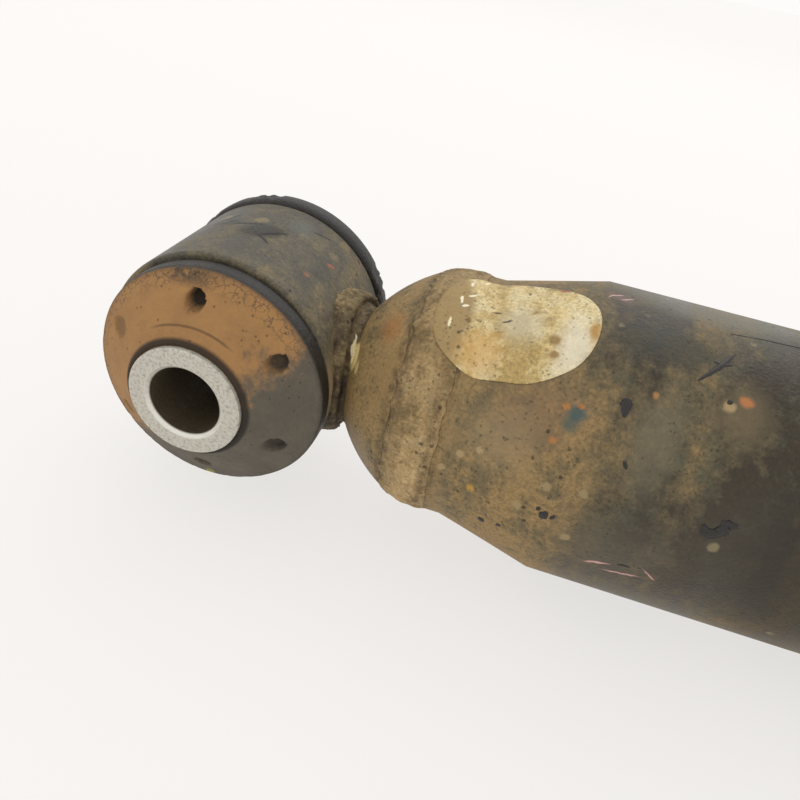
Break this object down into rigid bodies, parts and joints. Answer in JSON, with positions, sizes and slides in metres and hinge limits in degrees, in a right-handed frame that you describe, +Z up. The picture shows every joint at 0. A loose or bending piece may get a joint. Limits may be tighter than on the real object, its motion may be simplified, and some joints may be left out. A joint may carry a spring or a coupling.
{
  "type": "rear shock absorber",
  "caption": "Twin-tube telescopic shock absorber with a rubber-bushed eye at each end, a necked lower tube with a domed base and a sliding dust tube over the rod.",
  "frame": {"origin": "centre of the lower eye's bore", "axes": "+X along the damper from the lower eye to the upper eye, +Y along the lower eye's bore, +Z up as it lies; the rod is at full length"},
  "size_m": [0.5598, 0.068, 0.068],
  "materials": {
    "eye_steel": "worn grey paint over steel, dusty and scratched",
    "bush_rubber": "black natural rubber under tan dust",
    "sleeve_steel": "zinc-plated steel, weathered pale, pitted end faces",
    "weld": "painted weld bead, tan with rust-dark toes",
    "body_paint": "weathered olive-grey paint over steel, rust blotches and tar spots",
    "label_film": "blank weathered film label, cream to khaki",
    "dust_paint": "weathered dark paint over thin steel",
    "bright_tube": "drawn steel tube, oiled",
    "sintered": "sintered iron, fine-grained",
    "hard_chrome": "ground hard chrome",
    "spring_steel": "blued spring steel",
    "plain_steel": "machined steel, oiled",
    "bearing": "bronze-backed plain bearing",
    "ring_polymer": "filled PTFE band, dark green",
    "seal_rubber": "nitrile rubber",
    "bump_foam": "amber microcellular polyurethane"
  },
  "bodies": {
    "damper_body": {"lower_eye_ring": "eye_steel", "lower_bush_rubber": "bush_rubber", "lower_eye_weld": "weld", "base_cap": "body_paint", "base_weld": "weld", "reservoir_tube": "body_paint", "label": "label_film", "pressure_tube": "bright_tube", "base_valve_body": "sintered", "base_valve_pin": "plain_steel", "base_valve_discs": "spring_steel", "base_spring_cup": "plain_steel", "base_check_spring": "spring_steel", "rod_guide": "sintered", "guide_bush": "bearing", "rod_seal": "seal_rubber", "seal_garter_spring": "spring_steel", "seal_washer": "plain_steel", "rod_wiper": "seal_rubber"},
    "lower_sleeve": {"lower_bush_sleeve": "sleeve_steel"},
    "base_check": {"base_check_plate": "spring_steel"},
    "ring_carrier": {"piston_ring": "ring_polymer"},
    "rod_assembly": {"piston_rod": "hard_chrome", "piston": "sintered", "piston_nut": "plain_steel", "piston_valve_stop": "plain_steel", "piston_check_spring": "spring_steel", "rebound_valve_spring": "spring_steel", "rebound_collar": "plain_steel", "rebound_bumper": "seal_rubber", "bump_stop": "bump_foam", "bump_stop_cup": "plain_steel", "cup_circlip": "spring_steel", "dust_cap": "dust_paint", "dust_tube": "dust_paint", "upper_eye_ring": "eye_steel", "upper_bush_rubber": "bush_rubber", "upper_eye_weld": "weld"},
    "piston_check": {"piston_check_plate": "spring_steel"},
    "rebound_valve": {"rebound_discs": "spring_steel", "rebound_backing_washer": "plain_steel"},
    "upper_sleeve": {"upper_bush_sleeve": "sleeve_steel"}
  },
  "joints": [
    {"name": "rod_slide", "type": "slide", "parent": "damper_body", "child": "ring_carrier", "axis": [1, 0, 0], "range_m": [-0.155, 0], "stiffness_N_per_m": 450, "springref_m": 0.28, "deforming": ["bump_stop"]},
    {"name": "rod_turn", "type": "hinge", "parent": "ring_carrier", "child": "rod_assembly", "pos_m": [0.4, 0, 0], "axis": [1, 0, 0], "continuous": true},
    {"name": "lower_bush_twist", "type": "hinge", "parent": "damper_body", "child": "lower_sleeve", "pos_m": [0, 0, 0], "axis": [0, 1, 0], "range_deg": [-20, 20], "stiffness_Nm_per_rad": 57},
    {"name": "upper_bush_twist", "type": "hinge", "parent": "rod_assembly", "child": "upper_sleeve", "pos_m": [0.51, 0, 0], "axis": [0, 1, 0], "range_deg": [-20, 20], "stiffness_Nm_per_rad": 57},
    {"name": "base_check_lift", "type": "slide", "parent": "damper_body", "child": "base_check", "axis": [1, 0, 0], "range_m": [0, 0.0012], "stiffness_N_per_m": 300, "springref_m": -0.004, "deforming": ["base_check_spring"]},
    {"name": "piston_check_lift", "type": "slide", "parent": "rod_assembly", "child": "piston_check", "axis": [1, 0, 0], "range_m": [0, 0.0012], "stiffness_N_per_m": 300, "springref_m": -0.004, "deforming": ["piston_check_spring"]},
    {"name": "rebound_valve_lift", "type": "slide", "parent": "rod_assembly", "child": "rebound_valve", "axis": [-1, 0, 0], "range_m": [0, 0.0008], "stiffness_N_per_m": 400, "springref_m": -0.01, "deforming": ["rebound_valve_spring"]}
  ]
}
